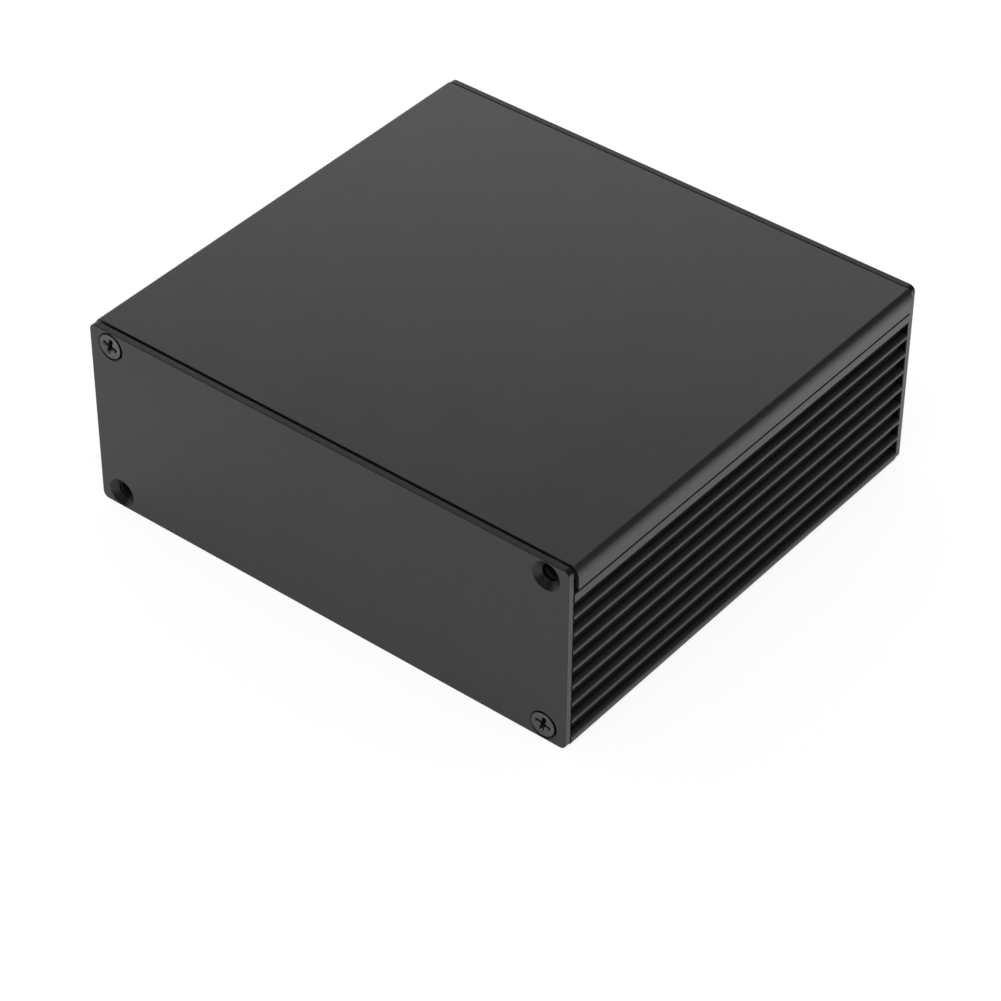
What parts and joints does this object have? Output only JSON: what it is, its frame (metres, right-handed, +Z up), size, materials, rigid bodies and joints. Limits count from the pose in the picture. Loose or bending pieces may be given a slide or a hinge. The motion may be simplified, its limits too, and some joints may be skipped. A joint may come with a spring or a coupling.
{
  "type": "extruded aluminium enclosure",
  "caption": "Low black split aluminium box for a circuit board, with ribbed sides, a flat lipped cover and screwed end plates.",
  "frame": {"origin": "middle of the underside, on the plane that the box rests on", "axes": "+X to the right along the front plate, +Y from the front plate to the rear plate, +Z up"},
  "size_m": [0.1106, 0.103, 0.0404],
  "materials": {
    "anodised_extrusion": "satin black anodised, fine blasted grain",
    "anodised_plate": "satin black anodised, fine blasted grain",
    "black_screw": "black oxide steel, semi-gloss"
  },
  "bodies": {
    "root": {"bottom_shell": "anodised_extrusion", "top_cover": "anodised_extrusion", "front_plate": "anodised_plate", "rear_plate": "anodised_plate", "front_screw_upper_left": "black_screw", "front_screw_lower_right": "black_screw", "rear_screw_upper_left": "black_screw", "rear_screw_lower_right": "black_screw"}
  },
  "joints": []
}
